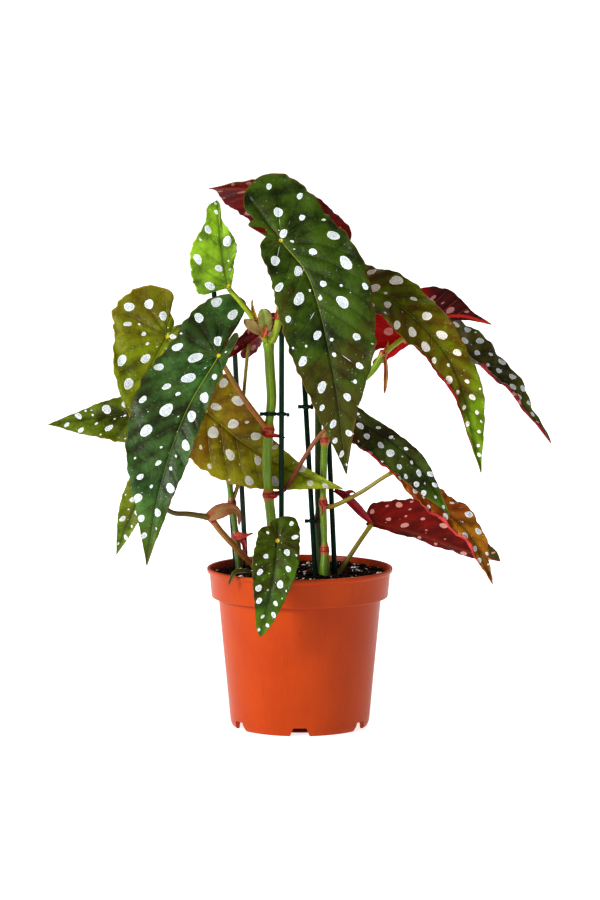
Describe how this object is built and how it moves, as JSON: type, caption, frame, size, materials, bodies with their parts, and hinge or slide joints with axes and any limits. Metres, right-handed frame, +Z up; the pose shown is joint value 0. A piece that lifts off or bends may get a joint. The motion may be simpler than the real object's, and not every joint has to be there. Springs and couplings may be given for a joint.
{
  "type": "potted polka dot begonia",
  "caption": "Polka dot begonia with angel-wing leaves on staked canes, in a round plastic nursery pot filled with soil.",
  "frame": {"origin": "middle of the flat boss under the pot's floor, level with the foot that the pot stands on", "axes": "+Z up through the pot and the plant; -Y is the front that most leaves face; +X is the viewer's right seen from the front"},
  "size_m": [0.3323, 0.1512, 0.3566],
  "materials": {
    "pot": "smooth satin terracotta-orange moulded plastic",
    "soil": "loose dark peat with bark chips and white perlite bits",
    "cane": "satin green plant stem with darker red joints",
    "green_stalk": "satin olive green leaf stalk",
    "red_stalk": "satin salmon brown leaf stalk",
    "leaf": "satin leaf, dark green with silvery white spots above and deep red below",
    "young_leaf": "satin light green young leaf with silvery white spots",
    "stick": "glossy dark green coated plant stick",
    "grey_stick": "grey green coated plant stick",
    "clip": "dark green moulded plant clip"
  },
  "bodies": {
    "root": {"pot": "pot", "soil": "soil", "cane_front": "cane", "cane_right": "cane", "cane_rear": "cane", "cane_left": "cane", "shoot_side": "red_stalk", "stake_front": "stick", "stake_left": "stick", "stake_centre": "stick", "stake_right": "stick", "stake_back": "grey_stick", "clip_front": "clip", "clip_centre": "clip", "clip_low": "clip", "petiole_crown": "green_stalk", "leaf_crown": "leaf", "petiole_left_front": "red_stalk", "leaf_left_front": "leaf", "petiole_young": "green_stalk", "leaf_young": "young_leaf", "petiole_left_upper": "green_stalk", "leaf_left_upper": "leaf", "petiole_left_far": "green_stalk", "leaf_left_far": "leaf", "petiole_left_low": "red_stalk", "leaf_left_low": "leaf", "petiole_middle": "green_stalk", "leaf_middle": "leaf", "petiole_crown_rear": "red_stalk", "leaf_crown_rear": "leaf", "petiole_right_long": "green_stalk", "leaf_right_long": "leaf", "petiole_right_under": "green_stalk", "leaf_right_under": "leaf", "petiole_right_far": "green_stalk", "leaf_right_far": "leaf", "petiole_right_mid": "red_stalk", "leaf_right_mid": "leaf", "petiole_right_amber": "green_stalk", "leaf_right_amber": "leaf", "petiole_right_low": "green_stalk", "leaf_right_low": "leaf", "petiole_front_small": "green_stalk", "leaf_front_small": "leaf", "petiole_rear_red": "green_stalk", "leaf_rear_red": "leaf"}
  },
  "joints": []
}
